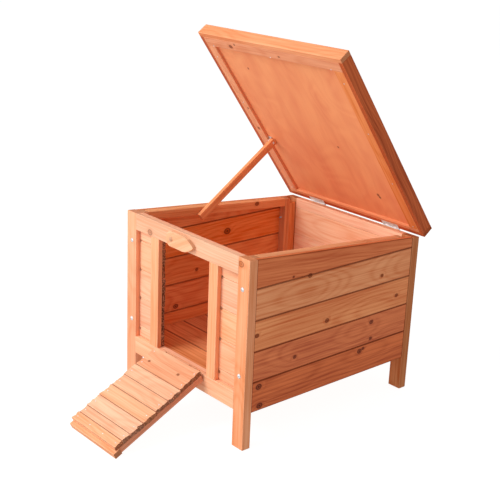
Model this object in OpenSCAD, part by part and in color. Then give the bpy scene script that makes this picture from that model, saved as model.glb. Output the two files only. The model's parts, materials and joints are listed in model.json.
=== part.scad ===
// Small wooden rabbit hutch with a hinged sloping lid, a prop stick,
// a fold-down ramp that closes the doorway, and a wooden turn button.
// Millimetres. X runs along the front, Y from the front to the back, Z up.
// Inside the modules Y is counted from the front face of the posts and X
// from the middle of the hutch; in_place() moves that to the origin.

/* [Box] */
// Width over the corner posts
box_w = 418; // [340:1:520]
// Depth over the corner posts
box_d = 512; // [420:1:640]
// Height of the front edge above the ground
front_h = 419; // [390:1:520]
// Height of the back edge above the ground
back_h = 376; // [330:1:385]
// Height of the lowest boards above the ground
base_h = 81; // [50:1:110]
// Height of the tapered top board at the back posts
top_board_back_h = 21.4; // [16:0.1:40]

/* [Timber] */
// Width of a corner post, along the front
post_w = 34; // [24:1:50]
// Thickness of the rails and jambs on the front and back
frame_t = 11; // [8:0.5:18]
// Thickness of the wall boards
board_t = 10; // [7:0.5:14]
// Gap between neighbouring boards
board_gap = 0.6; // [0.2:0.1:2]
// How far the side boards stand back from the posts
side_setback = 1; // [0:0.5:4]
// Width of the inner battens, across the hutch
batten_w = 20; // [14:1:30]
// Depth of the corner battens, front to back
corner_batten_d = 16; // [12:1:30]
// Depth of the cleats beside the back posts
back_cleat_d = 19; // [10:1:30]
// Drop of the back cleats below the top edge
back_cleat_drop = 8; // [2:1:20]
// Height of the battens under the side walls' top edge
top_batten_h = 19; // [12:1:30]

/* [Front] */
// Height of the top rails, front and back
top_rail_h = 38; // [24:1:42]
// Height of the bottom rails, front and back
bottom_rail_h = 40.5; // [30:0.5:60]
// Step from the lowest board's edge up to the bottom rails
rail_lift = 2.5; // [0:0.5:8]
// Width of the doorway
door_w = 174.5; // [120:0.5:200]
// Shift of the doorway's middle from the hutch's middle
door_shift = -3.5; // [-20:0.5:20]
// Width of a door jamb
jamb_w = 28; // [18:1:40]

/* [Floor] */
// Step from the doorway's sill down to the floor
floor_step = 6; // [2:0.5:12]
// Number of floor boards
floor_boards_n = 7; // [4:1:10]
// Clearance between a board's notch and what it fits round
notch_gap = 0.5; // [0.2:0.1:2]

/* [Lid] */
// Angle the lid stands open, from closed
lid_open = 48.4; // [30:0.1:60]
// Overhang of the lid at each side
lid_side_over = 14.5; // [6:0.5:30]
// Overhang of the lid at the front, along the slope
lid_front_over = 11; // [4:0.5:30]
// Height of the lid's fascia
lid_h = 28.7; // [24:0.1:40]
// Thickness of the lid's fascia
fascia_t = 11; // [8:0.5:16]
// Width of the lid's inner battens
lid_batten_w = 25; // [18:1:35]
// Thickness of the roof boards on top of the lid
roof_board_t = 10; // [6:0.5:14]
// Number of roof boards
roof_boards_n = 7; // [4:1:10]
// Thickness of the lid's ceiling panel
ceiling_t = 5; // [3:0.5:8]
// Depth of the ceiling panel above the lid's lower edge
ceiling_recess = 6.7; // [4:0.1:9]
// Gap between the closed lid and the box
lid_gap = 0.5; // [0.3:0.1:2]

/* [Prop stick] */
// Width of the prop stick
prop_w = 17; // [12:0.5:24]
// Thickness of the prop stick
prop_t = 10; // [6:0.5:14]
// Length of the prop stick as a share of the hutch's depth
prop_share = 0.5332; // [0.4:0.0001:0.54]
// Distance of the prop stick from the lid's back edge, as a share of the depth
prop_place_share = 0.381; // [0.34:0.001:0.4]
// Clearance beside the prop stick and above its end
prop_gap = 0.4; // [0.3:0.1:1]
// Thickness of the prop stick's steel bracket
bracket_t = 1.2; // [0.8:0.1:2]
// Distance from the prop stick's end to its screw
prop_end = 9; // [9:0.5:14]
// Radius of the flat domed head of the prop stick's screw
prop_head_r = 3.2; // [2.6:0.1:4.5]
// Height of that head
prop_head_h = 1; // [0.6:0.1:2]
// Lean of the prop stick from square to the lid
prop_lean = 1.7; // [0:0.1:4]

/* [Turn button] */
// Length from the turn button's peg to its tip
button_l = 76; // [60:1:90]
// Length of the turn button's pointed end
button_point = 41; // [20:1:50]
// Height of the turn button
button_h = 34; // [20:1:35]
// Thickness of the turn button
button_t = 8; // [5:0.5:12]
// Distance of the turn button's peg left of the doorway's middle
button_place = 33; // [10:1:50]
// Radius of the wooden peg that the turn button turns on
peg_r = 3; // [2:0.5:4]
// Radius of the peg's domed head
peg_head_r = 5.5; // [4.5:0.5:8]
// Gap between the turn button and the rail
button_gap = 0.6; // [0.3:0.1:2]

/* [Ramp] */
// Clearance between the closed ramp and each side of the doorway
ramp_side_gap = 4; // [1:0.5:12]
// Gap between the closed ramp and the top rail
ramp_top_gap = 2; // [1:0.5:8]
// Thickness of the ramp's planks
plank_t = 10.6; // [7:0.1:14]
// Width of the plank at the ramp's hinged end
first_plank = 61; // [40:1:70]
// Width of each of the two narrow planks at the ramp's free end
end_plank = 21.5; // [14:0.5:28]
// Number of planks between those at the two ends
mid_planks_n = 4; // [3:1:7]
// Thickness of the battens under the ramp
ramp_batten_t = 13.4; // [8:0.1:18]
// Width of the battens under the ramp
ramp_batten_w = 14; // [10:0.5:20]
// Distance of the ramp's battens from the plank ends
ramp_batten_inset = 3; // [1:0.5:8]
// Gap between the planks and the sill when closed
ramp_sill_gap = 1; // [0.3:0.1:2]
// Reach of the end batten past the last plank
ramp_lip = 9; // [7:0.5:14]
// Width of the end batten and of the hinge cleat
cross_batten_w = 18; // [16:1:24]

/* [Hinges] */
// Length of a lid hinge
lid_hinge_l = 50; // [30:1:60]
// Distance of each lid hinge from the middle, as a share of the hutch's width
lid_hinge_share = 0.29; // [0.2:0.01:0.3]
// Width of a lid hinge's leaf, from its barrel
lid_leaf_w = 15; // [12:0.5:17]
// Length of a ramp hinge
ramp_hinge_l = 38; // [25:1:45]
// Distance of each ramp hinge from the ramp's side batten
ramp_hinge_in = 5; // [1:0.5:12]
// Width of a ramp hinge's leaf, from its barrel
ramp_leaf_w = 16; // [12:0.5:22]
// Depth of the ramp's hinge line behind the front of the rail
ramp_axis_in = 5; // [4.5:0.1:6]
// Height from the ramp's hinge line up to the sill
ramp_axis_down = 5; // [4.5:0.1:6]
// Thickness of the hinge leaves
leaf_t = 1.2; // [0.8:0.1:1.4]
// Distance of a leaf's screws from its long edge
leaf_screw_in = 5; // [4:0.5:7]
// Outer radius of the hinge barrels
knuckle_r = 2.4; // [2.2:0.1:4]
// Radius of the hinge pins
pin_r = 1.2; // [0.8:0.1:1.4]
// Running clearance round pins and screws, on the radius
run_gap = 0.05; // [0.02:0.01:0.1]
// Clearance between a hinge barrel and the wood
barrel_gap = 0.5; // [0.3:0.1:2]

/* [Screws] */
// Radius of the corner screws' shanks
screw_r = 2; // [1.5:0.1:3]
// Radius of the corner screws' domed heads
screw_head_r = 5.3; // [3.5:0.1:6]
// Height of the domed heads
screw_head_h = 2.2; // [1.5:0.1:4]
// Height of the lower corner screws above the ground
screw_low_z = 164; // [140:1:200]
// Height of the front's upper corner screws above the ground
screw_front_z = 353; // [300:1:365]
// Height of the back's upper corner screws above the ground
screw_back_z = 330; // [280:1:345]
// Length that the back corner screws stick out of the battens
screw_poke = 7; // [2:0.5:10]
// Radius of the hinge screws' shanks
small_screw_r = 1.2; // [0.8:0.1:1.5]
// Radius of the hinge screws' flat heads
small_head_r = 2.3; // [1.8:0.1:3]
// Length of the hinge screws in the wood
small_screw_l = 7; // [4:0.5:9]
// Length of the prop bracket's screws in the wood
bracket_screw_l = 4.5; // [3:0.5:5]
// Length of the front corner screws that stays inside the battens' far face
screw_front_short = 3; // [1:0.5:8]

/* [Hidden] */
$fn = 48;

// Colours of the stained pine, its shaded end grain, and the plated steel
pine = [0.86, 0.58, 0.38];
pine_light = [0.93, 0.68, 0.49];
pine_deep = [0.72, 0.42, 0.24];
steel = [0.75, 0.76, 0.78];

// Box: the top edge falls from front to back
slope = atan2(front_h - back_h, box_d);
half_w = box_w / 2;
post_t = frame_t + board_t;
// Rows of boards in each wall: every side board has its own node
rows = 5;
// How far a cut runs on past the face that it opens
cut = 1;
board_h = (back_h - base_h - top_board_back_h) / (rows - 1);
post_in = half_w - post_w;
wall_in = half_w - side_setback - board_t;
batten_in = wall_in - batten_w;
sill_z = base_h + rail_lift + bottom_rail_h;
lintel_z = front_h - top_rail_h;
door_left = door_shift - door_w / 2;
door_right = door_shift + door_w / 2;
floor_z = sill_z - floor_step;
cleat_y = box_d - post_t - back_cleat_d;
back_batten_y = cleat_y - corner_batten_d;

// Lid: its hinge line is behind the back wall, at the height of the top edge
hinge_back = knuckle_r + barrel_gap;
lid_w = box_w + 2 * lid_side_over;
lid_l = box_d / cos(slope) + lid_front_over;
lid_batten_h = lid_h - roof_board_t;
lid_y0 = -hinge_back - lid_l;
lid_z0 = lid_gap / 2;
lid_tilt = slope + lid_open;
hinge_y = box_d + hinge_back * cos(slope) + lid_z0 * sin(slope);
hinge_z = back_h - hinge_back * sin(slope) + lid_z0 * cos(slope);
// Width of the lid's back batten
back_batten_w = 9;
lid_inner_w = lid_w - 2 * fascia_t - 2 * lid_batten_w;
ceiling_z = lid_z0 + ceiling_recess;
lid_hinge_place = lid_hinge_share * box_w;
// Knuckles of a hinge barrel, and the gap between two of them
hinge_knuckles = 5;
knuckle_gap = 0.2;
// Place of a leaf's two screws, as a share of its length from its middle
hinge_screw_x = 0.34;

// Prop stick: its bracket just clears the inner face of the left top batten
bracket_x = -batten_in + prop_gap;
prop_x = bracket_x + bracket_t + prop_gap;
prop_place = prop_place_share * box_d;
prop_l = min(prop_share * box_d, top_z(box_d - prop_place) - floor_z);
prop_pivot_y = -hinge_back - prop_place;
prop_pivot_z = ceiling_z - prop_gap - prop_end;

// Turn button: on the front of the top rail
button_x = door_shift - button_place;
// Drop of the peg below the middle of the rail
button_drop = 1.5;
button_z = lintel_z + top_rail_h / 2 - button_drop;
// Lap of the button's pointed end over its straight part
button_lap = 0.01;

// Ramp: its hinges are let into the bottom rail, its free end rests on the ground
ramp_axis_z = sill_z - ramp_axis_down;
ramp_w = door_w - 2 * ramp_side_gap;
ramp_l = lintel_z - ramp_top_gap - ramp_axis_z;
ramp_start = ramp_axis_down + ramp_sill_gap;
ramp_under = -ramp_axis_in;
plank_z = ramp_under + ramp_batten_t;
// How far a leaf's outer face stands beyond its barrel
leaf_proud = 0.1;
ramp_leaf_z = knuckle_r - leaf_t + leaf_proud;
// Distance of the hinge cleat from the ramp's hinge line
cleat_start = 8;
side_batten_x = ramp_w / 2 - ramp_batten_inset - ramp_batten_w;
ramp_hinge_place = side_batten_x - ramp_hinge_in - ramp_hinge_l / 2;
ramp_angle = asin(ramp_axis_z / norm([ramp_l, ramp_under])) - atan2(-ramp_under, ramp_l);
batten_start = (ramp_axis_in - ramp_under * sin(ramp_angle) + barrel_gap) / cos(ramp_angle);
mid_plank = (ramp_l - ramp_lip - ramp_start - first_plank - 2 * end_plank) / mid_planks_n;

// The origin is under the middle of everything, ramp and open lid included
reach_front = ramp_axis_in - ramp_l * cos(ramp_angle) - plank_z * sin(ramp_angle);
reach_back = hinge_y - hinge_back * cos(lid_tilt) + (lid_z0 + lid_h) * sin(lid_tilt);
front_y = -(reach_front + reach_back) / 2;

function top_z(y) = front_h - (front_h - back_h) * y / box_d;
function row_z(row) = base_h + row * board_h;
function plank_start(k) = k == 0 ? ramp_start : ramp_start + first_plank
  + min(k - 1, mid_planks_n) * mid_plank + max(k - 1 - mid_planks_n, 0) * end_plank;

// Carries the hutch's own coordinates to the origin
module in_place() translate([0, front_y, 0]) children();

// The lid's own frame: hinge line at its origin, -Y forward along the lid
module on_lid() in_place() translate([0, hinge_y, hinge_z]) rotate([-lid_tilt, 0, 0]) children();

// The same frame with the lid closed, for what stays on the box
module on_back_edge() translate([0, hinge_y, hinge_z]) rotate([-slope, 0, 0]) children();

// The ramp's own frame: hinge line at its origin, +Y along the ramp, +Z out of its top
module on_ramp() in_place() translate([door_shift, ramp_axis_in, ramp_axis_z])
  rotate([ramp_angle, 0, 0]) mirror([0, 1, 0]) children();

// Box from one corner to the other
module span(low, high) translate(low) cube(high - low);

// Piece with one outline in Y and Z, from x0 to x1
module profile(x0, x1, points)
  translate([x0, 0, 0]) rotate([90, 0, 90]) linear_extrude(x1 - x0) polygon(points);

// Upright or lying timber cut off along the sloping top edge
module to_top(x0, x1, y0, y1, z0)
  profile(x0, x1, [[y0, z0], [y1, z0], [y1, top_z(y1)], [y0, top_z(y0)]]);

// A hole or shank along Y or along X
module along_y(p, r, l) translate(p) rotate([-90, 0, 0]) cylinder(r = r, h = l);
module along_x(p, r, l) translate(p) rotate([0, 90, 0]) cylinder(r = r, h = l);

// Low dome on a flat base, standing along +Z
module dome(r, h) {
  ball = (r * r + h * h) / (2 * h);
  intersection() {
    translate([0, 0, h - ball]) sphere(r = ball, $fn = 64);
    cylinder(r = r, h = h);
  }
}

// Corner screws: how far across their batten they go in, as a share of its width
screw_across = 0.4;
screw_x = wall_in - screw_across * batten_w;
screw_front_l = post_t + corner_batten_d - screw_front_short;
screw_back_l = post_t + back_cleat_d + corner_batten_d + screw_poke;

// Shanks of the corner screws, with a radius that is also used for their holes
module corner_shanks(r) for (side = [-1, 1]) {
  for (z = [screw_low_z, screw_front_z]) along_y([side * screw_x, 0, z], r, screw_front_l);
  for (z = [screw_low_z, screw_back_z])
    along_y([side * screw_x, box_d - screw_back_l, z], r, screw_back_l);
}

// Cuts the corner screws' holes into what they pass through
module drilled() difference() {
  children();
  corner_shanks(screw_r + run_gap);
}

// Corner posts: full-height timbers that are also the legs
module post(side, y0) color(pine) in_place() drilled()
  to_top(side > 0 ? post_in : -half_w, side > 0 ? half_w : -post_in, y0, y0 + post_t, 0);
module front_post_left() post(-1, 0);
module front_post_right() post(1, 0);
module back_post_left() post(-1, box_d - post_t);
module back_post_right() post(1, box_d - post_t);

// Flat leaf with its share of the barrel, bored for the pin and its screws.
// The axis is X at the origin, the leaf lies along -Y from z0 up.
module hinge_leaf(l, w, z0, first) difference() {
  union() {
    span([-l / 2, -w, z0], [l / 2, -hinge_back, z0 + leaf_t]);
    for (k = [first:2:hinge_knuckles - 1]) knuckle(l, k, z0);
  }
  along_x([-l / 2 - cut, 0, 0], pin_r + run_gap, l + 2 * cut);
  for (side = [-1, 1]) leaf_screw(l, w, z0, side, run_gap);
}

// One knuckle of a hinge barrel with the strap that joins it to its leaf
module knuckle(l, k, z0) {
  step = l / hinge_knuckles;
  x0 = -l / 2 + k * step + knuckle_gap / 2;
  along_x([x0, 0, 0], knuckle_r, step - knuckle_gap);
  span([x0, -hinge_back - leaf_t, z0], [x0 + step - knuckle_gap, 0, z0 + leaf_t]);
}

// Flat-headed screw through a leaf; grow widens it for its hole
module leaf_screw(l, w, z0, side, grow) {
  down = z0 < 0 ? -1 : 1;
  translate([side * l * hinge_screw_x, leaf_screw_in - w, z0]) {
    cylinder(r1 = (down > 0 ? small_head_r : small_screw_r) + grow,
      r2 = (down > 0 ? small_screw_r : small_head_r) + grow, h = leaf_t);
    translate([0, 0, down > 0 ? 0 : -small_screw_l])
      cylinder(r = small_screw_r + grow, h = small_screw_l + leaf_t);
  }
}

// Lid hinges: box leaves below the hinge line, lid leaves above it
module at_lid_hinges() for (side = [-1, 1]) translate([side * lid_hinge_place, 0, 0]) children();
module lid_hinge_box_leaves() color(steel) in_place() on_back_edge() at_lid_hinges()
  hinge_leaf(lid_hinge_l, lid_leaf_w, -lid_z0 - leaf_t, 0);
module lid_hinge_lid_leaves() color(steel) on_lid() at_lid_hinges()
  hinge_leaf(lid_hinge_l, lid_leaf_w, lid_z0, 1);
module lid_hinge_pins() color(steel) in_place() on_back_edge() at_lid_hinges()
  along_x([-lid_hinge_l / 2, 0, 0], pin_r, lid_hinge_l);
module lid_hinge_screws() color(steel) on_lid() at_lid_hinges() for (side = [-1, 1])
  leaf_screw(lid_hinge_l, lid_leaf_w, lid_z0, side, 0);

// Pockets for the leaves and their screws, on the box and in the lid
module leaf_pocket(z0) {
  span([-lid_hinge_l / 2 - notch_gap, -lid_leaf_w - notch_gap, z0],
    [lid_hinge_l / 2 + notch_gap, cut, z0 + leaf_t]);
  for (side = [-1, 1]) leaf_screw(lid_hinge_l, lid_leaf_w, z0, side, run_gap);
}
module box_leaf_pockets() on_back_edge() at_lid_hinges() leaf_pocket(-lid_z0 - leaf_t);
module lid_leaf_pockets() at_lid_hinges() leaf_pocket(lid_z0);

// Ramp hinges: one leaf in the bottom rail's rebate, one under the ramp's hinge cleat
sill_leaf_z = -ramp_leaf_z - leaf_t;
module at_ramp_hinges() for (side = [-1, 1]) translate([side * ramp_hinge_place, 0, 0]) children();
module on_sill() translate([door_shift, ramp_axis_in, ramp_axis_z]) rotate([90, 0, 0]) children();
module ramp_hinge_box_leaves() color(steel) in_place() on_sill() at_ramp_hinges()
  hinge_leaf(ramp_hinge_l, ramp_leaf_w, sill_leaf_z, 0);
module ramp_hinge_pins() color(steel) in_place() on_sill() at_ramp_hinges()
  along_x([-ramp_hinge_l / 2, 0, 0], pin_r, ramp_hinge_l);
module ramp_leaf_screws(grow) mirror([0, 1, 0]) at_ramp_hinges() for (side = [-1, 1])
  leaf_screw(ramp_hinge_l, ramp_leaf_w, ramp_leaf_z, side, grow);
module ramp_hinge_leaves() color(steel) on_ramp() mirror([0, 1, 0]) at_ramp_hinges()
  hinge_leaf(ramp_hinge_l, ramp_leaf_w, ramp_leaf_z, 1);
module ramp_hinge_screws() color(steel) on_ramp() ramp_leaf_screws(0);

// Rebates for the ramp hinges, open to the front and the top, and their screw holes
module ramp_rebates() on_sill() at_ramp_hinges() {
  span([-ramp_hinge_l / 2 - notch_gap, -ramp_leaf_w - notch_gap, sill_leaf_z],
    [ramp_hinge_l / 2 + notch_gap, ramp_axis_down + cut, ramp_axis_in + cut]);
  for (side = [-1, 1]) leaf_screw(ramp_hinge_l, ramp_leaf_w, sill_leaf_z, side, run_gap);
}

// Screws of the leaves that stay on the box
module box_hinge_screws() color(steel) in_place() {
  on_back_edge() at_lid_hinges() for (side = [-1, 1])
    leaf_screw(lid_hinge_l, lid_leaf_w, -lid_z0 - leaf_t, side, 0);
  on_sill() at_ramp_hinges() for (side = [-1, 1])
    leaf_screw(ramp_hinge_l, ramp_leaf_w, sill_leaf_z, side, 0);
}

// Front frame: rails between the posts, jambs between the rails
module front_top_rail() color(pine_light) in_place() difference() {
  to_top(-post_in, post_in, 0, frame_t, lintel_z);
  along_y([button_x, 0, button_z], peg_r + run_gap, frame_t);
}
module bottom_rail(y0) span([-post_in, y0, base_h + rail_lift], [post_in, y0 + frame_t, sill_z]);
module front_bottom_rail() color(pine_light) in_place() difference() {
  bottom_rail(0);
  ramp_rebates();
}
module door_jamb_left() color(pine_light) in_place()
  span([door_left - jamb_w, 0, sill_z], [door_left, frame_t, lintel_z]);
module door_jamb_right() color(pine_light) in_place()
  span([door_right, 0, sill_z], [door_right + jamb_w, frame_t, lintel_z]);

// Boards behind the front frame
module front_header_board() color(pine) in_place()
  to_top(-post_in, post_in, frame_t, post_t, lintel_z);
module front_sill_board() color(pine) in_place() difference() {
  span([-post_in, frame_t, base_h + rail_lift], [post_in, post_t, sill_z]);
  ramp_rebates();
}
module front_boards(x0, x1) for (row = [0:rows - 1]) {
  low = max(row_z(row), sill_z) + board_gap;
  high = row == rows - 1 ? lintel_z - board_gap : min(row_z(row + 1), lintel_z);
  if (high > low) span([x0, frame_t, low], [x1, post_t, high]);
}
module front_boards_left() color(pine) in_place() front_boards(-post_in, door_left);
module front_boards_right() color(pine) in_place() front_boards(door_right, post_in);

// Side walls: five boards between the posts, the top one cut to the slope
module side_board(side, row) color(pine) in_place() {
  x0 = side > 0 ? wall_in : -wall_in - board_t;
  y1 = box_d - post_t;
  if (row == rows - 1) to_top(x0, x0 + board_t, post_t, y1, row_z(row));
  else span([x0, post_t, row_z(row)], [x0 + board_t, y1, row_z(row + 1) - board_gap]);
}
module left_board_1() side_board(-1, 0);
module left_board_2() side_board(-1, 1);
module left_board_3() side_board(-1, 2);
module left_board_4() side_board(-1, 3);
module left_board_5() side_board(-1, 4);
module right_board_1() side_board(1, 0);
module right_board_2() side_board(1, 1);
module right_board_3() side_board(1, 2);
module right_board_4() side_board(1, 3);
module right_board_5() side_board(1, 4);

// Back wall: boards inside, rails outside, cut out for the lid hinges
module back_boards() color(pine) in_place() difference() {
  for (row = [0:rows - 1]) {
    y0 = box_d - post_t;
    if (row == rows - 1) to_top(-post_in, post_in, y0, y0 + board_t, row_z(row));
    else span([-post_in, y0, row_z(row)], [post_in, y0 + board_t, row_z(row + 1) - board_gap]);
  }
  box_leaf_pockets();
}
module back_top_rail() color(pine) in_place() difference() {
  to_top(-post_in, post_in, box_d - frame_t, box_d, back_h - top_rail_h);
  box_leaf_pockets();
}
module back_bottom_rail() color(pine) in_place() bottom_rail(box_d - frame_t);

// Inner battens that the side walls are nailed to
module corner_battens(side) color(pine_deep) in_place() drilled() {
  x0 = side > 0 ? batten_in : -wall_in;
  to_top(x0, x0 + batten_w, post_t, post_t + corner_batten_d, base_h);
  to_top(x0, x0 + batten_w, back_batten_y, cleat_y, base_h);
}
module corner_battens_left() corner_battens(-1);
module corner_battens_right() corner_battens(1);
module back_cleats() color(pine_deep) in_place() drilled() for (side = [-1, 1]) {
  x0 = side > 0 ? batten_in : -wall_in;
  span([x0, cleat_y, base_h], [x0 + batten_w, cleat_y + back_cleat_d, back_h - back_cleat_drop]);
}
module top_batten(side) color(pine_deep) in_place() {
  x0 = side > 0 ? batten_in : -wall_in;
  y0 = post_t + corner_batten_d;
  y1 = back_batten_y;
  profile(x0, x0 + batten_w, [[y0, top_z(y0) - top_batten_h], [y1, top_z(y1) - top_batten_h],
    [y1, top_z(y1)], [y0, top_z(y0)]]);
}
module top_batten_left() top_batten(-1);
module top_batten_right() top_batten(1);

// Floor: bearers along the sides, boards across them
module floor_bearers() color(pine_deep) in_place() for (side = [-1, 1]) {
  x0 = side > 0 ? batten_in : -wall_in;
  span([x0, post_t + corner_batten_d, base_h], [x0 + batten_w, back_batten_y, floor_z - board_t]);
}
module floor_boards() color(pine) in_place() difference() {
  pitch = (box_d - 2 * post_t) / floor_boards_n;
  for (k = [0:floor_boards_n - 1]) span([-wall_in + notch_gap, post_t + k * pitch, floor_z - board_t],
    [wall_in - notch_gap, post_t + (k + 1) * pitch - board_gap, floor_z]);
  for (side = [-1, 1]) {
    x = side * (batten_in - notch_gap);
    x2 = side * half_w;
    span([min(x, x2), 0, base_h], [max(x, x2), post_t + corner_batten_d + notch_gap, front_h]);
    span([min(x, x2), back_batten_y - notch_gap, base_h], [max(x, x2), box_d, front_h]);
  }
}

// Domed screws that hold the front and back to the side walls
module corner_screws() color(steel) in_place() {
  corner_shanks(screw_r);
  for (side = [-1, 1]) {
    for (z = [screw_low_z, screw_front_z])
      translate([side * screw_x, 0, z]) rotate([90, 0, 0]) dome(screw_head_r, screw_head_h);
    for (z = [screw_low_z, screw_back_z])
      translate([side * screw_x, box_d, z]) rotate([-90, 0, 0]) dome(screw_head_r, screw_head_h);
  }
}

// Lid: fascia outside, battens inside it, ceiling between the battens, roof boards on top
module lid_fascia_front() color(pine_light) on_lid()
  span([-lid_w / 2, lid_y0, lid_z0], [lid_w / 2, lid_y0 + fascia_t, lid_z0 + lid_h]);
module lid_fascia_back() color(pine) on_lid() difference() {
  span([-lid_w / 2, -hinge_back - fascia_t, lid_z0], [lid_w / 2, -hinge_back, lid_z0 + lid_h]);
  lid_leaf_pockets();
}
module lid_fascia_side(x0) color(pine_deep) on_lid() span([x0, lid_y0 + fascia_t, lid_z0],
  [x0 + fascia_t, -hinge_back - fascia_t, lid_z0 + lid_h]);
module lid_fascia_left() lid_fascia_side(-lid_w / 2);
module lid_fascia_right() lid_fascia_side(lid_w / 2 - fascia_t);
module lid_cross_batten(y0, w) span([-lid_w / 2 + fascia_t, y0, lid_z0],
  [lid_w / 2 - fascia_t, y0 + w, lid_z0 + lid_batten_h]);
module lid_batten_front() color(pine) on_lid() lid_cross_batten(lid_y0 + fascia_t, lid_batten_w);
module lid_batten_back() color(pine) on_lid() difference() {
  lid_cross_batten(-hinge_back - fascia_t - back_batten_w, back_batten_w);
  lid_leaf_pockets();
}
module lid_side_batten(x0) color(pine) on_lid() span([x0, lid_y0 + fascia_t + lid_batten_w, lid_z0],
  [x0 + lid_batten_w, -hinge_back - fascia_t - back_batten_w, lid_z0 + lid_batten_h]);
module lid_batten_left() lid_side_batten(-lid_w / 2 + fascia_t);
module lid_batten_right() lid_side_batten(lid_w / 2 - fascia_t - lid_batten_w);
module lid_ceiling() color(pine) on_lid() difference() {
  span([-lid_inner_w / 2, lid_y0 + fascia_t + lid_batten_w, ceiling_z],
    [lid_inner_w / 2, -hinge_back - fascia_t - back_batten_w, ceiling_z + ceiling_t]);
  translate([0, prop_pivot_y, prop_pivot_z]) bracket_screws(run_gap);
}
module lid_roof_boards() color(pine) on_lid() {
  y0 = lid_y0 + fascia_t;
  pitch = (lid_l - 2 * fascia_t) / roof_boards_n;
  for (k = [0:roof_boards_n - 1]) span([-lid_w / 2 + fascia_t, y0 + k * pitch, lid_z0 + lid_batten_h],
    [lid_w / 2 - fascia_t, y0 + (k + 1) * pitch - board_gap, lid_z0 + lid_h]);
}

// Prop stick: square on the side that bears on the ceiling, round on the other
module at_prop() on_lid() translate([0, prop_pivot_y, prop_pivot_z]) children();
module prop_stick() color(pine_deep) at_prop() rotate([-prop_lean, 0, 0]) difference() {
  translate([prop_x, 0, 0]) rotate([90, 0, 90]) linear_extrude(prop_t) union() {
    translate([-prop_w / 2, prop_end - prop_l]) square([prop_w, prop_l - prop_end]);
    translate([0, -cut]) square([prop_w / 2, prop_end + cut]);
    intersection() {
      circle(r = prop_end);
      translate([-prop_w / 2, -prop_end]) square([prop_w, 2 * prop_end]);
    }
  }
  along_x([prop_x - cut, 0, 0], screw_r + run_gap, prop_t + 2 * cut);
}
module bracket_screws(grow) for (side = [-1, 1])
  translate([(bracket_x - lid_inner_w / 2) / 2, side * prop_w / 4, prop_end + prop_gap - bracket_t]) {
    cylinder(r1 = small_head_r + grow, r2 = small_screw_r + grow, h = bracket_t);
    cylinder(r = small_screw_r + grow, h = bracket_t + bracket_screw_l);
  }
module prop_bracket() color(steel) at_prop() difference() {
  union() {
    along_x([bracket_x, 0, 0], prop_w / 2, bracket_t);
    span([bracket_x, -prop_w / 2, 0], [bracket_x + bracket_t, prop_w / 2, prop_end + prop_gap]);
    span([notch_gap - lid_inner_w / 2, -prop_w / 2, prop_end + prop_gap - bracket_t],
      [bracket_x + bracket_t, prop_w / 2, prop_end + prop_gap]);
  }
  along_x([bracket_x - cut, 0, 0], screw_r + run_gap, bracket_t + 2 * cut);
  bracket_screws(run_gap);
}
module prop_screw() color(steel) at_prop() {
  along_x([bracket_x, 0, 0], screw_r, bracket_t + prop_t + 2 * prop_gap);
  translate([prop_x + prop_t + prop_gap, 0, 0]) rotate([0, 90, 0]) dome(prop_head_r, prop_head_h);
  bracket_screws(0);
}

// Turn button: rounded about its peg, pointed at the other end
module turn_button() color(pine_light) in_place() translate([button_x, -button_gap, button_z])
  rotate([90, 0, 0]) difference() {
    linear_extrude(button_t) button_outline();
    translate([0, 0, -cut]) cylinder(r = peg_r + run_gap, h = button_t + 2 * cut);
  }
module button_outline() {
  half = button_h / 2;
  start = button_l - button_point;
  bow = (button_point * button_point + half * half) / button_h;
  circle(r = half);
  translate([0, -half]) square([start, button_h]);
  intersection() {
    translate([start, bow - half]) circle(r = bow, $fn = 96);
    translate([start, half - bow]) circle(r = bow, $fn = 96);
    translate([start - button_lap, -half]) square([button_point + cut, button_h]);
  }
}
module turn_button_peg() color(pine_light) in_place() {
  head_y = -button_gap * 2 - button_t;
  along_y([button_x, head_y, button_z], peg_r, frame_t - head_y);
  translate([button_x, head_y, button_z]) rotate([90, 0, 0]) dome(peg_head_r, screw_head_h);
}

// Ramp: planks across two long battens, with a cross batten at each end
module ramp_planks() color(pine_light) on_ramp() difference() {
  for (k = [0:mid_planks_n + 2]) span([-ramp_w / 2, plank_start(k), plank_z],
    [ramp_w / 2, plank_start(k + 1) - board_gap, plank_z + plank_t]);
  ramp_leaf_screws(run_gap);
}
module ramp_battens() color(pine_deep) on_ramp() for (x0 = [side_batten_x, -side_batten_x - ramp_batten_w])
  span([x0, batten_start, ramp_under], [x0 + ramp_batten_w, ramp_l - cross_batten_w, plank_z]);
module ramp_cross_battens() color(pine_deep) on_ramp() difference() {
  union() {
    span([-side_batten_x, cleat_start, ramp_leaf_z + leaf_t],
      [side_batten_x, cleat_start + cross_batten_w, plank_z]);
    span([-ramp_w / 2, ramp_l - cross_batten_w, ramp_under], [ramp_w / 2, ramp_l, plank_z]);
  }
  ramp_leaf_screws(run_gap);
}

front_post_left();
front_post_right();
back_post_left();
back_post_right();
front_top_rail();
front_bottom_rail();
door_jamb_left();
door_jamb_right();
front_header_board();
front_sill_board();
front_boards_left();
front_boards_right();
left_board_1();
left_board_2();
left_board_3();
left_board_4();
left_board_5();
right_board_1();
right_board_2();
right_board_3();
right_board_4();
right_board_5();
back_boards();
back_top_rail();
back_bottom_rail();
corner_battens_left();
corner_battens_right();
back_cleats();
top_batten_left();
top_batten_right();
floor_bearers();
floor_boards();
corner_screws();
lid_hinge_box_leaves();
lid_hinge_pins();
ramp_hinge_box_leaves();
ramp_hinge_pins();
box_hinge_screws();
turn_button_peg();
lid_fascia_front();
lid_fascia_back();
lid_fascia_left();
lid_fascia_right();
lid_batten_front();
lid_batten_back();
lid_batten_left();
lid_batten_right();
lid_ceiling();
lid_roof_boards();
lid_hinge_lid_leaves();
lid_hinge_screws();
prop_bracket();
prop_screw();
prop_stick();
turn_button();
ramp_planks();
ramp_battens();
ramp_cross_battens();
ramp_hinge_leaves();
ramp_hinge_screws();
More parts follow.
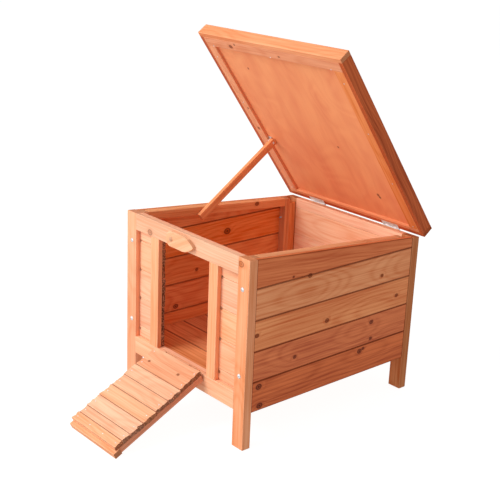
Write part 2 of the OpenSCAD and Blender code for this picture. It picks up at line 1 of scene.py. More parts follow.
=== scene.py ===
import json
import math
import random

import bmesh
import bpy
from mathutils import Matrix, Vector, noise


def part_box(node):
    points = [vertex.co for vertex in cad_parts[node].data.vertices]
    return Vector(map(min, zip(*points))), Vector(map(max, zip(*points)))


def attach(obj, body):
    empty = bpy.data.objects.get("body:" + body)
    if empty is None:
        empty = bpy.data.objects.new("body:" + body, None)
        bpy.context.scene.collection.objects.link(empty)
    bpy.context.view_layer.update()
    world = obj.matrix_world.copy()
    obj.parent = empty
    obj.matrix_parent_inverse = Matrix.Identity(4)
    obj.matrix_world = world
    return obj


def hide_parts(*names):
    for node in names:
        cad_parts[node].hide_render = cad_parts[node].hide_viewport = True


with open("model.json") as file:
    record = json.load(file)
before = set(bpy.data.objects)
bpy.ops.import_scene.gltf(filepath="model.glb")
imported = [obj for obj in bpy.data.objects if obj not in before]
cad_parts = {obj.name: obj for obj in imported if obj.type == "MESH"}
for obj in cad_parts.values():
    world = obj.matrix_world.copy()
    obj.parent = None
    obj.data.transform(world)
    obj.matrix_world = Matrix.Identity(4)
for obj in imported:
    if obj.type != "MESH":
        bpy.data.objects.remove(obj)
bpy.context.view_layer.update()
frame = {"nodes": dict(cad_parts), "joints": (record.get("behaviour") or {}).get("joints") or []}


# ---------------------------------------------------------------- Stained pine
# Flat-sawn softwood, cut along the trunk, so its rings show as long flames and
# fine lines along each board. It is stained a warm orange and left satin.
class Sock:
    """One socket of a shader tree that can be calculated with."""

    def __init__(self, tree, socket):
        self.tree, self.socket = tree, socket

    def math(self, kind, other=None):
        vector = self.socket.type == "VECTOR" or (isinstance(other, Sock) and other.socket.type == "VECTOR")
        node = self.tree.nodes.new("ShaderNodeVectorMath" if vector else "ShaderNodeMath")
        node.operation = kind
        put(self.tree, node.inputs[0], self)
        if other is not None:
            put(self.tree, node.inputs[1], other)
        return Sock(self.tree, node.outputs["Vector" if vector and kind != "LENGTH" else "Value"])

    def __add__(self, other):
        return self.math("ADD", other)

    def __sub__(self, other):
        return self.math("SUBTRACT", other)

    def __mul__(self, other):
        return self.math("MULTIPLY", other)

    def __pow__(self, other):
        return self.math("POWER", other)

    def ramp(self, low, high, out_low=0.0, out_high=1.0):
        """Smooth step of this value from low to high."""
        node = self.tree.nodes.new("ShaderNodeMapRange")
        node.interpolation_type = "SMOOTHSTEP"
        names = ("Value", "From Min", "From Max", "To Min", "To Max")
        for name, value in zip(names, (self, low, high, out_low, out_high)):
            put(self.tree, node.inputs[name], value)
        return Sock(self.tree, node.outputs["Result"])


def put(tree, socket, value):
    """A constant is set on the socket; anything calculated is linked to it."""
    if isinstance(value, Sock):
        tree.links.new(value.socket, socket)
    elif socket.type == "VECTOR" and isinstance(value, (int, float)):
        socket.default_value = (value, value, value)
    elif socket.type == "RGBA":
        socket.default_value = (*value[:3], 1.0)
    else:
        socket.default_value = value


def shade(tree, kind, out=0, **values):
    """Adds any shader node: its settings and its inputs by name, spaces written as _."""
    node = tree.nodes.new("ShaderNode" + kind)
    for key, value in values.items():
        if hasattr(node, key):
            setattr(node, key, value)
    for key, value in values.items():
        if not hasattr(node, key):
            put(tree, node.inputs[key.replace("_", " ")], value)
    return Sock(tree, node.outputs[out])


def tint(tree, factor, a, b):
    """Colour a turned towards colour b by a factor."""
    node = tree.nodes.new("ShaderNodeMix")
    node.data_type = "RGBA"
    put(tree, node.inputs[0], factor)
    put(tree, node.inputs[6], a)
    put(tree, node.inputs[7], b)
    return Sock(tree, node.outputs[2])


def cloud(tree, detail, **values):
    """Noise at a place, Vector or W, that has already been stretched to size."""
    return shade(tree, "TexNoise", 0, Scale=1.0, Detail=detail, **values)


def linear(red, green, blue):
    """A colour from 0 to 255 as a linear one."""
    return tuple((c / 255 / 12.92) if c <= 10 else ((c / 255 + 0.055) / 1.055) ** 2.4 for c in (red, green, blue))


def pine(name, light, dark, seed=0.0, flame=1.0, fine=1.0, end=0.45, bark=0.0, groove_shade=False,
         veneer=False, knots=(), plane="grain", sound=0.0, knot_amount=1.0):
    """Pine stained between its own two colours.

    flame and fine say how strongly the rings and the fibres show, end how dark the end grain is
    and bark how torn. groove darkens the eased edges with painted shade, and veneer peels the rings into swirls.
    knots are (along, across, size) on the plane grain, front, side or top; sound ones are paler,
    and knot_amount is for the small stray ones.
    """
    mat = bpy.data.materials.new(name)
    mat.use_nodes = True
    t = mat.node_tree
    shader = t.nodes["Principled BSDF"]
    grain = shade(t, "Attribute", 1, attribute_name="grain")
    board, eased_edge, face = (shade(t, "Attribute", 2, attribute_name=word) for word in ("board", "eased_edge", "endgrain"))
    here = shade(t, "TexCoord", 3)
    # Knots at known places, as a distance that the rings also bend round
    near = None
    for along, across, size in knots:
        gap = {
            "grain": lambda: (grain - (along, across, 0.0)) * (0.8 / size, 1.0 / size, 0.0),
            "front": lambda: (here - (along, 0.0, across)) * (0.8 / size, 0.0, 1.0 / size),
            "side": lambda: (here - (0.0, along, across)) * (0.0, 0.95 / size, 1.2 / size),
            "top": lambda: (here - (along, across, 0.0)) * (0.8 / size, 1.2 / size, 0.0),
        }[plane]()
        far = gap.math("LENGTH")
        near = far if near is None else near.math("MINIMUM", far)
    bend = cloud(t, 2.0, Vector=grain * (2.6, 15.0, 15.0) + board * 31.0) * 0.008
    if near is not None:
        bend = bend + near.ramp(0.6, 3.2, 1.0, 0.0) * 0.0035
    # Rings about a pith line that lies well off the board, or peeled swirls on veneer
    if veneer:
        rings = cloud(t, 2.0, Vector=grain * (4.5, 7.0, 0.0) + seed, Distortion=0.7)
        rings = (rings * 46.0).math("SINE") * 0.5 + 0.5
    else:
        pith_depth, rings_in_a_metre = 0.045, 1500.0
        split = t.nodes.new("ShaderNodeSeparateXYZ")
        put(t, split.inputs[0], grain)
        u, v, w = (Sock(t, split.outputs[i]) for i in range(3))
        drift = cloud(t, 1.0, noise_dimensions="1D", W=u * 3.2 + board * 57.0 + seed)
        side = v + (board - 0.5) * 0.09
        deep = w + pith_depth + board * 0.02 + drift * 0.03
        radius = (side * side + deep * deep) ** 0.5 + bend
        rings = ((radius * rings_in_a_metre).math("SINE") * 0.5 + 0.5) ** 2.2
    fibre = cloud(t, 3.0, Vector=grain * (14.0, 620.0, 620.0) + board * 13.0, Roughness=0.6)
    patch = cloud(t, 3.0, Vector=grain * (4.0, 16.0, 16.0) + board * 7.0 + seed)
    streak = cloud(t, 2.0, Vector=grain * (3.0, 210.0, 210.0) + board * 5.0)
    amount = rings * (0.30 * flame) + fibre.ramp(0.35, 0.75) * (0.34 * fine)
    amount = amount + streak.ramp(0.38, 0.68) * (0.42 * fine) + patch.ramp(0.3, 0.75) * 0.42 - 0.1
    colour = tint(t, amount, light, dark)
    # Small stray knots, few and round, from a sparse cell pattern
    spread = grain * (7.0, 16.0, 0.0) + board * 91.0 + seed
    cell = shade(t, "TexVoronoi", 0, Vector=spread, Scale=1.0, Randomness=1.0)
    pick = shade(t, "TexVoronoi", 1, Vector=spread, Scale=1.0, Randomness=1.0)
    some = shade(t, "SeparateColor", 0, Color=pick).ramp(0.86, 0.88) * knot_amount
    colour = tint(t, cell.ramp(0.06, 0.17, 1.0, 0.0) * some * 0.35, colour, [c * 0.55 for c in dark])
    colour = tint(t, cell.ramp(0.035, 0.075, 1.0, 0.0) * some * 0.8, colour, [c * 0.25 for c in dark])
    if near is not None:
        # A stained halo, a ringed core, then a dark rim and, if it is not sound, a dark heart
        ring = (near * 11.0).math("SINE") * 0.5 + 0.5
        rim = near.ramp(0.7, 0.86) * near.ramp(0.9, 1.1, 1.0, 0.0)
        core = near.ramp(0.82, 0.98, 1.0, 0.0)
        heart = near.ramp(0.1, 0.45, 1.0, 0.0) * (0.85 - 0.7 * sound)
        red, green, blue = dark
        halo = (red * 0.75, green * 0.55, blue * 0.45)
        brown = (red * 0.42, green * 0.3, blue * 0.24)
        black = (0.035, 0.010, 0.003)
        colour = tint(t, near.ramp(0.8, 2.2, 1.0, 0.0) * 0.28, colour, halo)
        colour = tint(t, core * (ring * 0.3 + 0.6) * (1.0 - 0.55 * sound), colour, brown)
        colour = tint(t, (rim * 0.75).math("MAXIMUM", heart) * (1.0 - 0.5 * sound), colour, black)
    # End grain drinks more stain, and where it is torn it is nearly bark brown
    colour = tint(t, face * end, colour, [c * 0.5 for c in dark])
    if bark:
        chips = cloud(t, 2.0, Vector=here * 260.0)
        colour = tint(t, face * chips.ramp(0.58, 0.44) * bark, colour, (0.115, 0.038, 0.014))
    # Each board has its own lightness and depth of stain
    hue = t.nodes.new("ShaderNodeHueSaturation")
    put(t, hue.inputs["Color"], colour)
    put(t, hue.inputs["Value"], board * 0.16 + 0.92)
    put(t, hue.inputs["Saturation"], (board * 7.3).math("FRACT") * 0.14 + 0.93)
    # Eased edges are a little paler from rubbing, or darkened with painted shade where boards meet
    edge_wear_and_shade = [c * 0.42 for c in dark] if groove_shade else [min(1.0, c * 1.12) for c in light]
    colour = tint(t, eased_edge * (0.62 if groove_shade else 0.28), Sock(t, hue.outputs[0]), edge_wear_and_shade)
    put(t, shader.inputs["Base Color"], colour)
    put(t, shader.inputs["Roughness"], fibre * 0.22 + rings * 0.06 + 0.51)
    shader.inputs["Specular IOR Level"].default_value = 0.10
    height = rings * 0.45 + fibre * 0.55 + patch * 0.4
    if near is not None:
        height = height - near.ramp(0.8, 1.1, 1.0, 0.0) * 0.6
    bump = t.nodes.new("ShaderNodeBump")
    bump.inputs["Strength"].default_value = 0.35
    bump.inputs["Distance"].default_value = 0.0005
    put(t, bump.inputs["Height"], height)
    t.links.new(bump.outputs["Normal"], shader.inputs["Normal"])
    return mat


def islands_of(bm):
    """Groups of joined points, one for each loose board or fitting."""
    left, islands = set(bm.verts), []
    while left:
        group, todo = [], [left.pop()]
        while todo:
            vert = todo.pop()
            group.append(vert)
            for edge in vert.link_edges:
                other = edge.other_vert(vert)
                if other in left:
                    left.discard(other)
                    todo.append(other)
        islands.append(sorted(group, key=lambda q: q.index))
    return islands


def cad_copy(bm, nodes):
    """Adds the meshes of some CAD nodes where they lie, with their doubles merged."""
    for node in nodes:
        part = frame["nodes"][node]
        start = len(bm.verts)
        bm.from_mesh(part.data)
        bm.verts.ensure_lookup_table()
        bmesh.ops.transform(bm, matrix=part.matrix_world, verts=bm.verts[start:])
    bmesh.ops.remove_doubles(bm, verts=bm.verts, dist=2e-6)


def piece(name, bm, body, nodes, material):
    """Makes the finished mesh an object, and says what it rides on and replaces."""
    mesh = bpy.data.meshes.new(name)
    bm.to_mesh(mesh)
    bm.free()
    obj = bpy.data.objects.new(name, mesh)
    bpy.context.collection.objects.link(obj)
    mesh.materials.append(material)
    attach(obj, body)
    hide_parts(*nodes)
    return obj


def timber(name, nodes, body, material, ease=0.0011, rough=0.0, rough_side=0, shortest=0.006):
    """Boards cut to some CAD nodes: edges longer than shortest eased, grain laid along each one.

    rough is how far the sawn ends are torn back, at both ends or on rough_side only.
    """
    bm = bmesh.new()
    tag = bm.verts.layers.int.new("island")
    grain = bm.verts.layers.float_vector.new("grain")
    end, edge_layer, own = (bm.faces.layers.float.new(word) for word in ("endgrain", "eased_edge", "board"))
    cad_copy(bm, nodes)
    bmesh.ops.dissolve_limit(bm, angle_limit=math.radians(0.6), verts=bm.verts, edges=bm.edges)
    bm.verts.index_update()
    islands = islands_of(bm)
    islands.sort(key=lambda group: tuple(round(c, 4) for c in min((tuple(q.co) for q in group))))
    # Each board's own axes and middle, and its own chance, all from its shape and name
    boards = []
    for number, group in enumerate(islands):
        edges = dict.fromkeys(e for q in group for e in q.link_edges)
        longest = max(edges, key=lambda e: round(e.calc_length(), 5))
        along = (longest.verts[1].co - longest.verts[0].co).normalized()
        if along[max(range(3), key=lambda i: abs(along[i]))] < 0:
            along = -along
        lying = dict.fromkeys(f for q in group for f in q.link_faces if abs(f.normal.dot(along)) < 0.3)
        broad = max(lying, key=lambda f: (round(f.calc_area(), 7), round(f.normal.dot((1, 2, 3)), 3))).normal.copy()
        broad = (broad - along * broad.dot(along)).normalized()
        across = broad.cross(along).normalized()
        centre, half = Vector(), 0.0
        for axis in (across, broad, along):
            reach = [q.co.dot(axis) for q in group]
            centre += axis * (min(reach) + max(reach)) / 2
            half = (max(reach) - min(reach)) / 2
        dice = random.Random(name + str(number))
        chance, shift = dice.random(), Vector([dice.uniform(-3, 3) for _ in range(3)])
        boards.append({"along": along, "across": across, "broad": broad, "centre": centre,
                       "half": half, "chance": chance, "shift": shift})
        for q in group:
            q[tag] = number
    outer = [e for e in bm.edges if len(e.link_faces) == 2 and e.is_convex
             and e.calc_length() > shortest and e.calc_face_angle(0) > 0.5]
    made = bmesh.ops.bevel(bm, geom=outer, offset=ease, segments=2, profile=0.6, affect="EDGES", clamp_overlap=False)
    eased_edge = set(made["faces"])
    if rough:
        def end_side(q):
            its = boards[q[tag]]
            place = (q.co - its["centre"]).dot(its["along"])
            side = 1 if place > 0 else -1
            return side if its["half"] - abs(place) < ease * 1.5 and rough_side in (0, side) else 0

        sawn = [e for e in bm.edges if e.calc_length() > 0.006
                and end_side(e.verts[0]) and end_side(e.verts[0]) == end_side(e.verts[1])]
        bmesh.ops.subdivide_edges(bm, edges=sawn, cuts=11, use_grid_fill=True)
        for q in bm.verts:
            side = end_side(q)
            if side:
                its = boards[q[tag]]
                spot = q.co * 95.0 + its["shift"] * 9.0
                torn = noise.noise(spot) * 0.7 + noise.noise(spot * 3.1) * 0.35
                short = (its["chance"] * 17.0 * (2 + side)) % 1.0 * 0.6
                q.co -= its["along"] * side * rough * max(0.0, min(1.3, 0.35 + torn + short))
    bm.normal_update()
    for f in bm.faces:
        its = boards[max(q[tag] for q in f.verts)]
        f[end] = 1.0 if abs(f.normal.dot(its["along"])) > 0.75 else 0.0
        f[edge_layer] = 1.0 if f in eased_edge and f[end] < 0.5 else 0.0
        f[own] = its["chance"]
        f.smooth = f in eased_edge
    for q in bm.verts:
        its = boards[q[tag]]
        q[grain] = Vector([(q.co - its["centre"]).dot(its[axis]) for axis in ("along", "across", "broad")])
    return piece(name, bm, body, nodes, material)


# ---------------------------------------------------------------- Corner posts
# Four square-sawn posts, planed and eased, that run on down as the legs. Their
# tops are cut along the slope of the lid.
front_post = pine("pine_post", linear(253, 184, 145), linear(230, 146, 104), seed=3.0, flame=0.8, sound=0.8,
                  knots=((0.183, 0.405, 0.0066),), plane="front")
timber("front_post_left_wood", ["front_post_left"], "box", front_post)
timber("front_post_right_wood", ["front_post_right"], "box", front_post)
back_post = pine("pine_back_post", linear(216, 150, 108), linear(184, 106, 68), seed=8.0)
timber("back_post_left_wood", ["back_post_left"], "box", back_post)
timber("back_post_right_wood", ["back_post_right"], "box", back_post)

# ---------------------------------------------------------------- Front frame
# Pale rails and jambs halved together over the boards, the cleanest wood of the
# hutch. One round knot shows near the left end of the top rail.
rail = pine("pine_rail", linear(254, 198, 160), linear(236, 158, 114), seed=1.0, flame=0.7, sound=0.8,
            knots=((-0.1228, 0.389, 0.0066),), plane="front", knot_amount=0.3)
timber("front_top_rail_wood", ["front_top_rail"], "box", rail, ease=0.0009)
timber("front_bottom_rail_wood", ["front_bottom_rail"], "box", rail, ease=0.0006)
jamb = pine("pine_jamb", linear(253, 188, 150), linear(236, 152, 110), seed=5.0, flame=0.6, knot_amount=0.0)
timber("door_jamb_left_wood", ["door_jamb_left"], "box", jamb)
timber("door_jamb_right_wood", ["door_jamb_right"], "box", jamb)

# ---------------------------------------------------------------- Boards behind the front
# Short lapped boards on each side of the doorway, nailed behind the frame. Their
# sawn ends are left rough where they meet the doorway.
# Small dark marks at the laps, near the left ends of the boards
lap_mark = 0.0034
lowest, next_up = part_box("left_board_1")[0][2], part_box("left_board_2")[0][2]
laps = [lowest + (next_up - lowest) * row for row in (2, 3, 4)] + [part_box("front_sill_board")[1][2] + 0.019]
board_ends = (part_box("front_boards_left")[0][0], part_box("front_boards_right")[0][0] + 0.028)
lap_marks = [(x + 0.0016, z, lap_mark) for x in board_ends for z in laps]
clad = pine("pine_cladding", linear(253, 194, 156), linear(236, 156, 114), seed=9.0, flame=0.8, end=0.85, bark=0.95,
            knots=lap_marks, plane="front")
timber("front_boards_left_wood", ["front_boards_left"], "box", clad, ease=0.0016, rough=0.0028, rough_side=1)
timber("front_boards_right_wood", ["front_boards_right"], "box", clad,
       ease=0.0016, rough=0.0015, rough_side=-1)
timber("front_header_wood", ["front_header_board"], "box", clad)
timber("front_sill_wood", ["front_sill_board"], "box", clad, ease=0.0006)

# ---------------------------------------------------------------- Side walls
# Five boards a side, lying in steps with dark shadow lines between them. The
# right wall shows its knots: some sound and ringed, some dark and loose.
right_knots = (
    (0.0178, 0.3532, 0.0058), (0.2438, 0.306, 0.0046), (0.2993, 0.2467, 0.005), (0.077, 0.238, 0.006),
    (-0.124, 0.253, 0.0055), (0.221, 0.2, 0.006), (0.2223, 0.1598, 0.0048), (-0.0138, 0.1771, 0.005),
    (0.1887, 0.1367, 0.0068), (0.2, 0.1405, 0.0046), (-0.1127, 0.136, 0.0078), (-0.1083, 0.0918, 0.0078),
    (-0.0302, 0.3603, 0.003),
)
stain = (((240, 122, 58), (184, 76, 28)), ((246, 132, 64), (196, 84, 32)), ((250, 164, 108), (212, 108, 60)),
         ((250, 174, 128), (214, 118, 76)), ((252, 144, 84), (208, 94, 42)))
# Both walls' eased board edges are darkened with painted shade, for the shadow lines between boards.
for row, (pale_stain, deep_stain) in enumerate(stain, start=1):
    low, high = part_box(f"right_board_{row}")
    own_knots = [k for k in right_knots if low[2] - 0.004 < k[1] < high[2] + 0.004]
    wall_right = pine(f"pine_wall_right_{row}", linear(*pale_stain), linear(*deep_stain), seed=2.0 + row,
                      knots=own_knots, plane="side", flame=0.8, knot_amount=0.15, groove_shade=True)
    timber(f"right_board_{row}_wood", [f"right_board_{row}"], "box", wall_right, ease=0.002)
left_knots = ((0.1334, 0.3212, 0.0095), (0.0412, 0.2411, 0.0045), (-0.02, 0.16, 0.007), (0.19, 0.11, 0.008))
wall_left = pine("pine_wall_left", linear(252, 176, 120), linear(222, 122, 68), seed=6.0, knots=left_knots,
                 plane="side", flame=1.1, knot_amount=0.3, groove_shade=True)
for row in range(1, 6):
    timber(f"left_board_{row}_wood", [f"left_board_{row}"], "box", wall_left, ease=0.002)

# ---------------------------------------------------------------- Back wall
# Boards like the sides', with two rails outside that match the front's. The top
# boards are let in for the lid's hinges.
back = pine("pine_back", linear(254, 206, 168), linear(240, 168, 128), seed=12.0, knot_amount=0.8)
timber("back_boards_wood", ["back_boards"], "box", back, ease=0.0006, shortest=0.2)
timber("back_top_rail_wood", ["back_top_rail"], "box", back, ease=0.0005)
timber("back_bottom_rail_wood", ["back_bottom_rail"], "box", back)

# ---------------------------------------------------------------- Inner battens
# Sawn battens that the walls are nailed to: upright in the corners, sloping
# under the top edge, and two bearers that carry the floor.
inner = pine("pine_inner", linear(250, 182, 132), linear(220, 132, 84), seed=15.0,
             knots=((0.2085, 0.383, 0.006),), plane="side")
timber("corner_battens_left_wood", ["corner_battens_left"], "box", inner)
timber("corner_battens_right_wood", ["corner_battens_right"], "box", inner)
timber("back_cleats_wood", ["back_cleats"], "box", inner)
timber("top_batten_left_wood", ["top_batten_left"], "box", inner)
timber("top_batten_right_wood", ["top_batten_right"], "box", inner)
timber("floor_bearers_wood", ["floor_bearers"], "box", inner)

# ---------------------------------------------------------------- Floor
# Seven loose-laid boards across the bearers, notched round the corner battens.
# Painted shade darkens their eased edges where they meet, and they are a little darker than the walls.
ground = pine("pine_floor", linear(248, 172, 122), linear(204, 112, 66), seed=18.0, flame=0.8, groove_shade=True)
timber("floor_boards_wood", ["floor_boards"], "box", ground, ease=0.0018)

# ---------------------------------------------------------------- Lid
# A shallow tray: wide fascia boards outside, flat battens inside them, a thin
# ceiling panel sunk between the battens, and roof boards laid on top.
lid_pale = pine("pine_lid_front", linear(243, 172, 130), linear(220, 130, 88), seed=21.0, flame=0.7)
timber("lid_fascia_front_wood", ["lid_fascia_front"], "lid", lid_pale, ease=0.0012)
lid_side = pine("pine_lid_side", linear(222, 116, 72), linear(172, 76, 44), seed=23.0, flame=1.1)
timber("lid_fascia_left_wood", ["lid_fascia_left"], "lid", lid_side, ease=0.0012)
timber("lid_fascia_right_wood", ["lid_fascia_right"], "lid", lid_side, ease=0.0012)
timber("lid_fascia_back_wood", ["lid_fascia_back"], "lid", lid_side, ease=0.0005)
lid_rail = pine("pine_lid_front_batten", linear(250, 174, 130), linear(224, 130, 84), seed=24.0, flame=0.7,
                knots=((-0.125, 0.002, 0.0045), (-0.108, -0.006, 0.002), (0.03, 0.004, 0.0022)))
timber("lid_batten_front_wood", ["lid_batten_front"], "lid", lid_rail)
lid_frame = pine("pine_lid_battens", linear(250, 166, 114), linear(226, 124, 72), seed=25.0, flame=0.7,
                 knots=((-0.02, 0.002, 0.0035), (0.045, 0.005, 0.0025)))
timber("lid_batten_left_wood", ["lid_batten_left"], "lid", lid_frame)
lid_plain = pine("pine_lid_plain", linear(250, 164, 112), linear(224, 120, 70), seed=26.0, flame=0.7, knot_amount=0.0)
timber("lid_batten_right_wood", ["lid_batten_right"], "lid", lid_plain)
timber("lid_batten_back_wood", ["lid_batten_back"], "lid", lid_plain, ease=0.0005)
panel = pine("pine_ceiling", linear(255, 160, 96), linear(230, 108, 56), seed=27.0, flame=0.5, fine=0.2, veneer=True,
             knots=((-0.156, 0.1215, 0.0034), (-0.163, 0.1235, 0.003), (-0.019, 0.0645, 0.0022),
                    (0.178, -0.1155, 0.0022)), knot_amount=0.0)
timber("lid_ceiling_wood", ["lid_ceiling"], "lid", panel, ease=0.0004)
roof = pine("pine_roof", linear(240, 170, 126), linear(206, 124, 80), seed=29.0)
timber("lid_roof_boards_wood", ["lid_roof_boards"], "lid", roof, ease=0.0018)

# ---------------------------------------------------------------- Prop stick
# One thin stick, square where it bears on the ceiling and rounded on the side
# that folds, darker than the boards.
stick = pine("pine_stick", linear(250, 168, 112), linear(226, 130, 80), seed=31.0, flame=0.6, knot_amount=0.0)
timber("prop_stick_wood", ["prop_stick"], "prop", stick, ease=0.0008)

# ---------------------------------------------------------------- Turn button
# A flat leaf sawn from pale stock and sanded, turning on a domed wooden peg that
# is glued into the rail.
leaf = pine("pine_button", linear(253, 203, 166), linear(240, 166, 124), seed=33.0, flame=0.6, knot_amount=0.0)
timber("turn_button_wood", ["turn_button"], "turn_button", leaf, ease=0.0011)
timber("turn_button_peg_wood", ["turn_button_peg"], "box", leaf, ease=0.0004)

# ---------------------------------------------------------------- Ramp
# Planks nailed across two battens. Their ends were sawn roughly and left ragged;
# the first plank is the widest and the last two are narrow.
# The planks' eased edges are darkened with painted shade where they meet.
tread = pine("pine_tread", linear(253, 198, 160), linear(236, 156, 116), seed=35.0, flame=0.7, knot_amount=0.0,
             end=0.9, bark=0.5, groove_shade=True, plane="top",
             knots=((-0.0606, -0.1958, 0.0028), (0.0359, -0.1899, 0.003)))
timber("ramp_planks_wood", ["ramp_planks"], "ramp", tread, ease=0.0008, rough=0.0048)
under = pine("pine_ramp_batten", linear(240, 160, 122), linear(206, 118, 80), seed=37.0)
timber("ramp_battens_wood", ["ramp_battens"], "ramp", under)
lip = pine("pine_lip", linear(250, 188, 148), linear(232, 148, 106), seed=39.0, knot_amount=0.0, end=0.8)
timber("ramp_cross_battens_wood", ["ramp_cross_battens"], "ramp", lip, ease=0.0009)


# ---------------------------------------------------------------- Hinges and screws
# Pressed steel butt hinges and cross-recessed screws, zinc plated. The plating
# is brushed along the leaves and dulled by handling.
def zinc(name, cross):
    """Dull zinc plate; a cross sinks a slot for the driver into the middle of each fitting, as a bump with painted
    shade in it.
    """
    mat = bpy.data.materials.new(name)
    mat.use_nodes = True
    t = mat.node_tree
    shader = t.nodes["Principled BSDF"]
    here = shade(t, "TexCoord", 3)
    brushed = cloud(t, 3.0, Vector=here * (60.0, 900.0, 900.0))
    dulled = cloud(t, 4.0, Vector=here * 90.0)
    colour = tint(t, dulled.ramp(0.35, 0.7), (0.84, 0.85, 0.87), (0.66, 0.66, 0.67))
    height = brushed * 0.5 + dulled * 0.4
    if cross:
        split = t.nodes.new("ShaderNodeSeparateXYZ")
        put(t, split.inputs[0], shade(t, "Attribute", 1, attribute_name="local"))
        x, z = (Sock(t, split.outputs[i]).math("ABSOLUTE") for i in (0, 2))
        slot_x, slot_z = (thin.ramp(0.0004, 0.0006, 1.0, 0.0) * tall.ramp(0.0018, 0.0021, 1.0, 0.0)
                          for thin, tall in ((x, z), (z, x)))
        shaded_recess = slot_x.math("MAXIMUM", slot_z)
        # The cross is painted near black: painted shade in the driver's slot, which is only bumped, not cut.
        colour = tint(t, shaded_recess * 0.8, colour, (0.10, 0.09, 0.09))
        height = height - shaded_recess * 3.0
    put(t, shader.inputs["Base Color"], colour)
    put(t, shader.inputs["Roughness"], brushed * 0.2 + dulled * 0.12 + 0.22)
    shader.inputs["Metallic"].default_value = 0.3
    bump = t.nodes.new("ShaderNodeBump")
    bump.inputs["Strength"].default_value = 0.3
    bump.inputs["Distance"].default_value = 0.0002
    put(t, bump.inputs["Height"], height)
    t.links.new(bump.outputs["Normal"], shader.inputs["Normal"])
    return mat


plated = zinc("zinc_plate", False)
headed = zinc("zinc_screw", True)
for node, body, mat in (
    ("corner_screws", "box", headed),
    ("box_hinge_screws", "box", plated),
    ("lid_hinge_box_leaves", "box", plated),
    ("lid_hinge_pins", "box", plated),
    ("ramp_hinge_box_leaves", "box", plated),
    ("ramp_hinge_pins", "box", plated),
    ("lid_hinge_lid_leaves", "lid", plated),
    ("lid_hinge_screws", "lid", plated),
    ("prop_bracket", "lid", plated),
    ("prop_screw", "lid", plated),
    ("ramp_hinge_leaves", "ramp", plated),
    ("ramp_hinge_screws", "ramp", plated),
):
    bm = bmesh.new()
    cad_copy(bm, [node])
    local = bm.verts.layers.float_vector.new("local")
    for group in islands_of(bm):
        low = [min(q.co[i] for q in group) for i in range(3)]
        high = [max(q.co[i] for q in group) for i in range(3)]
        middle = Vector([(a + b) / 2 for a, b in zip(low, high)])
        for q in group:
            q[local] = q.co - middle
    fitting = piece(f"{node}_steel", bm, body, [node], mat).data
    fitting.polygons.foreach_set("use_smooth", [True] * len(fitting.polygons))
    fitting.set_sharp_from_angle(angle=math.radians(35))


# ---------------------------------------------------------------- Nails
# Small bright wire nails, driven flush through the planks and the lid's frame.
# A node tree puts one domed head on each marked point, facing out of the wood.
tree = bpy.data.node_groups.new("nail_heads", "GeometryNodeTree")
tree.interface.new_socket("Geometry", in_out="INPUT", socket_type="NodeSocketGeometry")
for word, kind in (("Radius", "Float"), ("Head", "Float"), ("Finish", "Material")):
    tree.interface.new_socket(word, in_out="INPUT", socket_type="NodeSocket" + kind)
tree.interface.new_socket("Geometry", in_out="OUTPUT", socket_type="NodeSocketGeometry")
ins, outs = tree.nodes.new("NodeGroupInput"), tree.nodes.new("NodeGroupOutput")
ball = tree.nodes.new("GeometryNodeMeshUVSphere")
ball.inputs["Segments"].default_value = 16
ball.inputs["Rings"].default_value = 10
facing = tree.nodes.new("GeometryNodeInputNamedAttribute")
facing.data_type = "FLOAT_VECTOR"
facing.inputs["Name"].default_value = "facing"
turn = tree.nodes.new("FunctionNodeAlignRotationToVector")
turn.axis = "Z"
flat = tree.nodes.new("ShaderNodeCombineXYZ")
flat.inputs[0].default_value = 1.0
flat.inputs[1].default_value = 1.0
put_on = tree.nodes.new("GeometryNodeInstanceOnPoints")
points = tree.nodes.new("GeometryNodeMeshToPoints")
real = tree.nodes.new("GeometryNodeRealizeInstances")
paint = tree.nodes.new("GeometryNodeSetMaterial")
for a, b in (
    (ins.outputs["Geometry"], points.inputs["Mesh"]),
    (ins.outputs["Radius"], ball.inputs["Radius"]),
    (ins.outputs["Head"], flat.inputs[2]),
    (points.outputs["Points"], put_on.inputs["Points"]),
    (ball.outputs["Mesh"], put_on.inputs["Instance"]),
    (facing.outputs["Attribute"], turn.inputs["Vector"]),
    (turn.outputs["Rotation"], put_on.inputs["Rotation"]),
    (flat.outputs["Vector"], put_on.inputs["Scale"]),
    (put_on.outputs["Instances"], real.inputs["Geometry"]),
    (real.outputs["Geometry"], paint.inputs["Geometry"]),
    (ins.outputs["Finish"], paint.inputs["Material"]),
    (paint.outputs["Geometry"], outs.inputs["Geometry"]),
):
    tree.links.new(a, b)
# Both rows are marked from their hinge's pin, across it and down the boards
joints = {joint["name"]: joint for joint in frame["joints"]}
lid_tilt, lid_sunk = math.radians(53.2), -0.0003
lid_out = Vector((0.0, -math.sin(lid_tilt), -math.cos(lid_tilt)))
lid_down = Vector((0.0, -math.cos(lid_tilt), math.sin(lid_tilt)))
lid_pin = Vector(joints["lid_hinge"]["pos_m"])
lid_marks = [(x, 0.4935) for x in (-0.19, -0.0005, 0.1805)]
lid_marks += [(side * 0.2, place) for side in (-1, 1) for place in (0.03, 0.17, 0.32, 0.46)]
lid_nails = [lid_pin + Vector((x, 0, 0)) + lid_down * place + lid_out * lid_sunk for x, place in lid_marks]
ramp_tilt, plank_top, row_end = math.radians(26.13), 0.0189, 0.0715
ramp_out = Vector((0.0, -math.sin(ramp_tilt), math.cos(ramp_tilt)))
ramp_down = Vector((0.0, -math.cos(ramp_tilt), -math.sin(ramp_tilt)))
ramp_pin = Vector(joints["ramp_hinge"]["pos_m"])
down_ramp = (0.018, 0.055, 0.085, 0.12, 0.155, 0.19, 0.218)
ramp_marks = [(side * row_end, place) for side in (-1, 1) for place in down_ramp]
ramp_marks += [(x, 0.24) for x in (-row_end, -0.024, 0.024, row_end)]
ramp_nails = [ramp_pin + Vector((x, 0, 0)) + ramp_down * place + ramp_out * plank_top for x, place in ramp_marks]
nail_radius, nail_flatness = 0.0015, 0.3
names = {item.name: item.identifier for item in tree.interface.items_tree if item.in_out == "INPUT"}
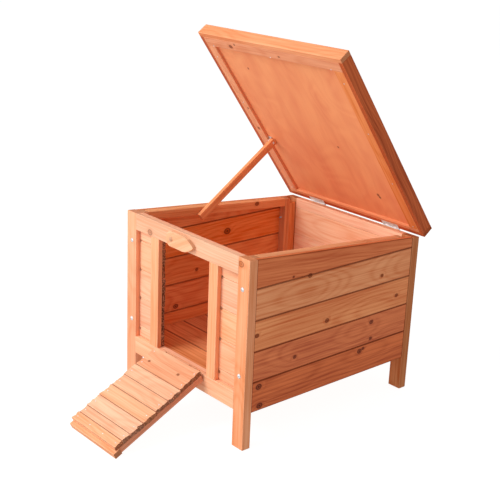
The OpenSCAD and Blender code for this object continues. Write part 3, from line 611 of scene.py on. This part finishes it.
for name, body, spots, out in (
    ("lid_nails", "lid", lid_nails, lid_out),
    ("ramp_nails", "ramp", ramp_nails, ramp_out),
):
    mesh = bpy.data.meshes.new(name)
    mesh.from_pydata(spots, [], [])
    mark = mesh.attributes.new("facing", "FLOAT_VECTOR", "POINT")
    mark.data.foreach_set("vector", [c for _ in spots for c in out])
    obj = bpy.data.objects.new(name, mesh)
    bpy.context.collection.objects.link(obj)
    grow = obj.modifiers.new("nails", "NODES")
    grow.node_group = tree
    grow[names["Radius"]] = nail_radius
    grow[names["Head"]] = nail_flatness
    grow[names["Finish"]] = plated
    done = bpy.data.meshes.new_from_object(obj.evaluated_get(bpy.context.evaluated_depsgraph_get()))
    obj.modifiers.clear()
    obj.data = done
    done.polygons.foreach_set("use_smooth", [True] * len(done.polygons))
    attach(obj, body)

# ---------------------------------------------------------------- Studio
# A plain pale floor and a white surround, both whiter to the eye than the light
# they give to the wood. Three soft lights: a broad key from the front left, one
# low in front, and a weak fill from the right.
far, drop = 30.0, -0.0004
mesh = bpy.data.meshes.new("studio_floor")
mesh.from_pydata([(-far, -far, drop), (far, -far, drop), (far, far, drop), (-far, far, drop)], [], [(0, 1, 2, 3)])
floor = bpy.data.objects.new("studio_floor", mesh)
bpy.context.collection.objects.link(floor)
pale = bpy.data.materials.new("studio_white")
pale.use_nodes = True
t = pale.node_tree
paper = t.nodes["Principled BSDF"].inputs
paper["Base Color"].default_value = (0.22, 0.22, 0.22, 1)
paper["Roughness"].default_value = 0.9
paper["Specular IOR Level"].default_value = 0.0
put(t, paper["Emission Color"], tint(t, shade(t, "LightPath", 0), (0.52, 0.52, 0.52), (0.93, 0.93, 0.93)))
paper["Emission Strength"].default_value = 1.0
mesh.materials.append(pale)
world = bpy.data.worlds.new("studio")
bpy.context.scene.world = world
world.use_nodes = True
t = world.node_tree
sky = t.nodes["Background"]
sky.inputs["Color"].default_value = (1, 1, 1, 1)
put(t, sky.inputs["Strength"], shade(t, "LightPath", 0) * 0.58 + 0.42)
lit_middle = Vector((0, 0.1, 0.3))
for name, spot, size, power in (
    ("key", (-0.9, -2.6, 3.0), 2.0, 94.0),
    ("front", (-1.2, -3.8, 1.0), 2.2, 43.0),
    ("fill", (2.6, -2.2, 2.4), 2.5, 5.0),
):
    lamp = bpy.data.lights.new(name, "AREA")
    lamp.size, lamp.energy = size, power
    obj = bpy.data.objects.new(name, lamp)
    bpy.context.collection.objects.link(obj)
    obj.location = spot
    obj.rotation_euler = (lit_middle - Vector(spot)).to_track_quat("-Z", "Y").to_euler()
bpy.context.scene.view_settings.view_transform = "Standard"
bpy.context.scene.view_settings.look = "None"

# ---------------------------------------------------------------- Camera
# Eye height a little above the open lid's hinge, to the right of the front.
turn_right, tip_down, roll = math.radians(48.23), math.radians(18.64), math.radians(2.46)
level = math.cos(tip_down)
forward = Vector((-math.sin(turn_right) * level, math.cos(turn_right) * level, -math.sin(tip_down)))
right = forward.cross(Vector((0, 0, 1))).normalized()
up = right.cross(forward)
right, up = right * math.cos(roll) + up * math.sin(roll), up * math.cos(roll) - right * math.sin(roll)
lens = bpy.data.cameras.new("camera")
lens.lens, lens.sensor_width = 75.14, 36.0
camera = bpy.data.objects.new("camera", lens)
bpy.context.collection.objects.link(camera)
eye = (1.64107, -1.43287, 1.08977)
camera.matrix_world = Matrix([(right[i], up[i], -forward[i], eye[i]) for i in range(3)] + [(0, 0, 0, 1)])
bpy.context.scene.camera = camera
